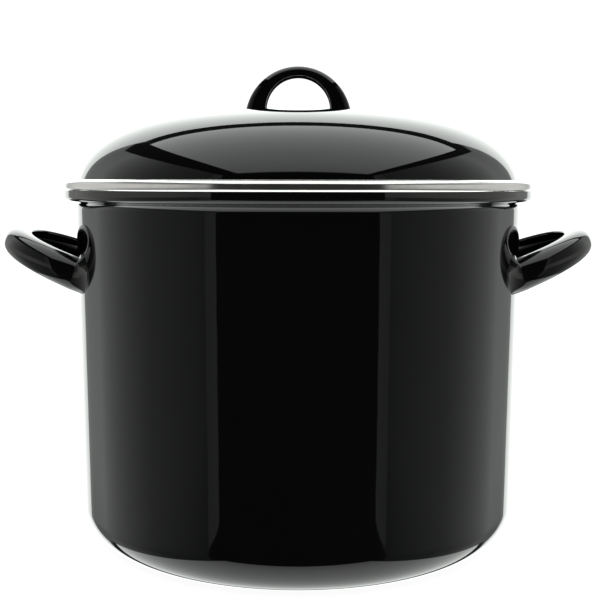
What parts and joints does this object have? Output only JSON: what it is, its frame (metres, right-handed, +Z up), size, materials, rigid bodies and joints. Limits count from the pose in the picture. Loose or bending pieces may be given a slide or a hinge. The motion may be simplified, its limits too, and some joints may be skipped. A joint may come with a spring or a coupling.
{
  "type": "water bath canner",
  "caption": "Black enamelled water bath canner: straight-sided stock pot with a steel rim band, loop side handles, domed lid with an arch handle, and a wire jar rack with folding handles.",
  "frame": {"origin": "centre of the pot's flat base, on the surface it stands on", "axes": "+Z up along the pot's axis, +X towards the right side handle, -Y towards the front"},
  "size_m": [0.4298, 0.3428, 0.3419],
  "materials": {
    "black_enamel": "glossy vitreous enamel",
    "rim_steel": "polished",
    "rack_wire": "bright plated"
  },
  "bodies": {
    "pot": {"pot_shell": "black_enamel", "pot_rim_band": "rim_steel", "side_handle_left": "black_enamel", "side_handle_right": "black_enamel"},
    "rack": {"rack_outer_ring": "rack_wire", "rack_middle_ring": "rack_wire", "rack_centre_ring": "rack_wire", "rack_spoke_1": "rack_wire", "rack_spoke_2": "rack_wire", "rack_spoke_3": "rack_wire", "rack_spoke_4": "rack_wire", "rack_spoke_5": "rack_wire", "rack_spoke_6": "rack_wire", "rack_spoke_7": "rack_wire", "rack_spoke_8": "rack_wire", "rack_spoke_9": "rack_wire", "rack_spoke_10": "rack_wire", "rack_spoke_11": "rack_wire", "rack_spoke_12": "rack_wire", "rack_divider_1": "rack_wire", "rack_divider_2": "rack_wire", "rack_divider_3": "rack_wire", "rack_divider_4": "rack_wire", "rack_divider_5": "rack_wire", "rack_divider_6": "rack_wire", "rack_foot_1": "rack_wire", "rack_foot_2": "rack_wire", "rack_foot_3": "rack_wire", "rack_foot_4": "rack_wire", "rack_foot_5": "rack_wire", "rack_foot_6": "rack_wire", "rack_eyelet_1": "rack_wire", "rack_eyelet_2": "rack_wire", "rack_eyelet_3": "rack_wire", "rack_eyelet_4": "rack_wire"},
    "lid": {"lid_shell": "black_enamel", "lid_handle": "black_enamel"},
    "rack_handle_left": {"rack_handle_left": "rack_wire"},
    "rack_handle_right": {"rack_handle_right": "rack_wire"}
  },
  "joints": [
    {"name": "rack_lift", "type": "slide", "parent": "pot", "child": "rack", "axis": [0, 0, 1], "range_m": [0, 0.28]},
    {"name": "lid_lift", "type": "slide", "parent": "rack", "child": "lid", "axis": [0, 0, 1], "range_m": [0, 0.25]},
    {"name": "rack_handle_left_fold", "type": "hinge", "parent": "rack", "child": "rack_handle_left", "pos_m": [-0.136, 0, 0.0227], "axis": [0, 1, 0], "range_deg": [0, 44]},
    {"name": "rack_handle_right_fold", "type": "hinge", "parent": "rack", "child": "rack_handle_right", "pos_m": [0.136, 0, 0.0227], "axis": [0, -1, 0], "range_deg": [0, 44]}
  ]
}
